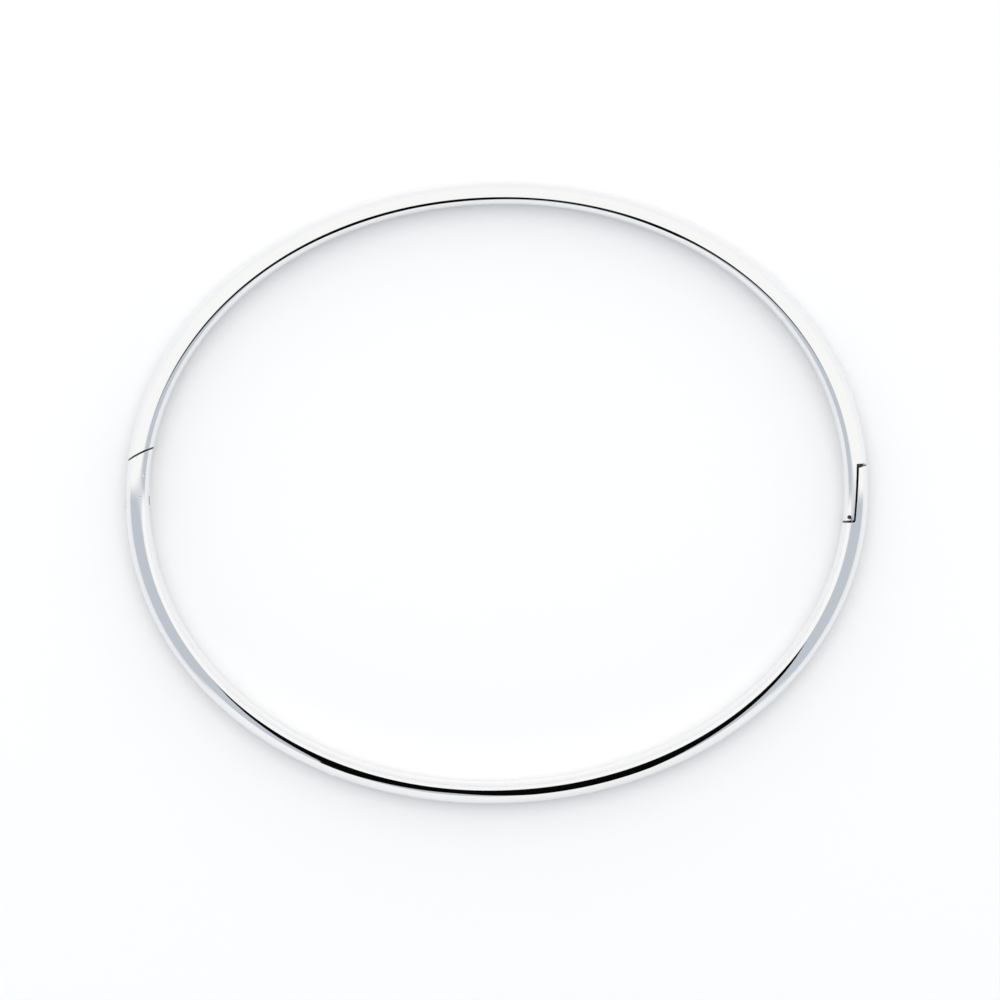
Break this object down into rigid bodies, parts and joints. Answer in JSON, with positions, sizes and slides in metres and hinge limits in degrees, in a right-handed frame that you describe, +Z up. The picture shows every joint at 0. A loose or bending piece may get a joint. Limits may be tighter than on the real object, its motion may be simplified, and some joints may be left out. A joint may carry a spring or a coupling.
{
  "type": "hinged bangle bracelet",
  "caption": "Slim oval bangle of polished white metal tube that opens on a concealed side hinge and closes with a lapped snap clasp.",
  "frame": {"origin": "centre of the wrist opening, on the surface that the bangle lies on", "axes": "+X along the oval's long axis from the hinge towards the clasp, +Z up through the wrist opening"},
  "size_m": [0.0642, 0.0538, 0.0032],
  "materials": {
    "polished_tube": "mirror polished white precious metal",
    "filed_block": "filed and lightly polished white precious metal",
    "blade_spring": "plain rolled spring strip"
  },
  "bodies": {
    "rear_half": {"rear_tube": "polished_tube", "hinge_fork": "filed_block", "hinge_pin": "filed_block", "clasp_socket": "filed_block", "blade_rivet": "filed_block"},
    "front_half": {"front_tube": "polished_tube", "hinge_leaf": "filed_block", "clasp_tongue": "filed_block", "catch_pin": "filed_block"},
    "catch_spring": {"catch_blade": "blade_spring"}
  },
  "joints": [
    {"name": "hinge", "type": "hinge", "parent": "rear_half", "child": "front_half", "pos_m": [-0.03066, 0.00105, 0.0016], "axis": [0, 0, 1], "range_deg": [0, 55]},
    {"name": "catch_flex", "type": "hinge", "parent": "rear_half", "child": "catch_spring", "pos_m": [0.0305, -0.0054, 0.0016], "axis": [0, 0, -1], "range_deg": [0, 4], "stiffness_Nm_per_rad": 0.06}
  ]
}
